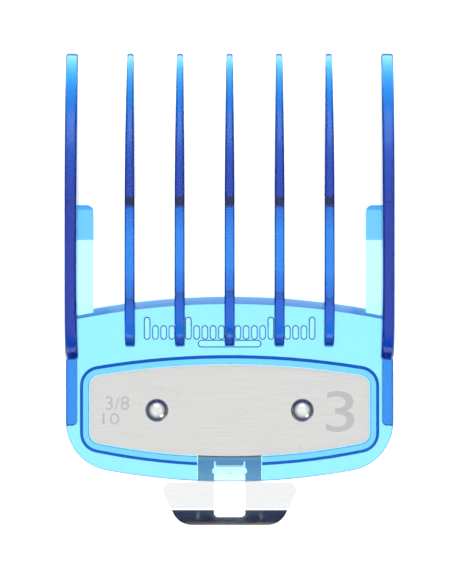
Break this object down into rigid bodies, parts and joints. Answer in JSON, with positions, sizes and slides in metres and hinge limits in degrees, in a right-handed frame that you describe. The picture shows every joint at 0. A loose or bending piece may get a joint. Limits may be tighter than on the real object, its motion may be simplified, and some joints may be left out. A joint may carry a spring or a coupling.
{
  "type": "clipper guard comb",
  "caption": "Push-on hair clipper guard: translucent comb with long arched teeth, riveted number plate and a sprung steel clip that hooks the blade.",
  "frame": {"origin": "middle of the length and width, level with the side rails' lower edges, clipper side down", "axes": "+X across the teeth to the right, +Y from the clip to the tooth tips, +Z from the clipper to the skin"},
  "size_m": [0.05, 0.072, 0.0142],
  "materials": {
    "tinted_plastic": "translucent, lightly satin",
    "brushed_plate": "fine brushed across the plate",
    "spring_steel": "bright rolled",
    "rivet_steel": "polished dome"
  },
  "bodies": {
    "comb": {"comb_moulding": "tinted_plastic", "face_plate": "brushed_plate", "clip_base": "spring_steel", "rivet_left": "rivet_steel", "rivet_right": "rivet_steel"},
    "clip": {"clip_lever": "spring_steel"}
  },
  "joints": [
    {"name": "clip_flex", "type": "hinge", "parent": "comb", "child": "clip", "pos_m": [0, -0.0256, 0.00445], "axis": [-1, 0, 0], "range_deg": [0, 10], "stiffness_Nm_per_rad": 0.3}
  ]
}
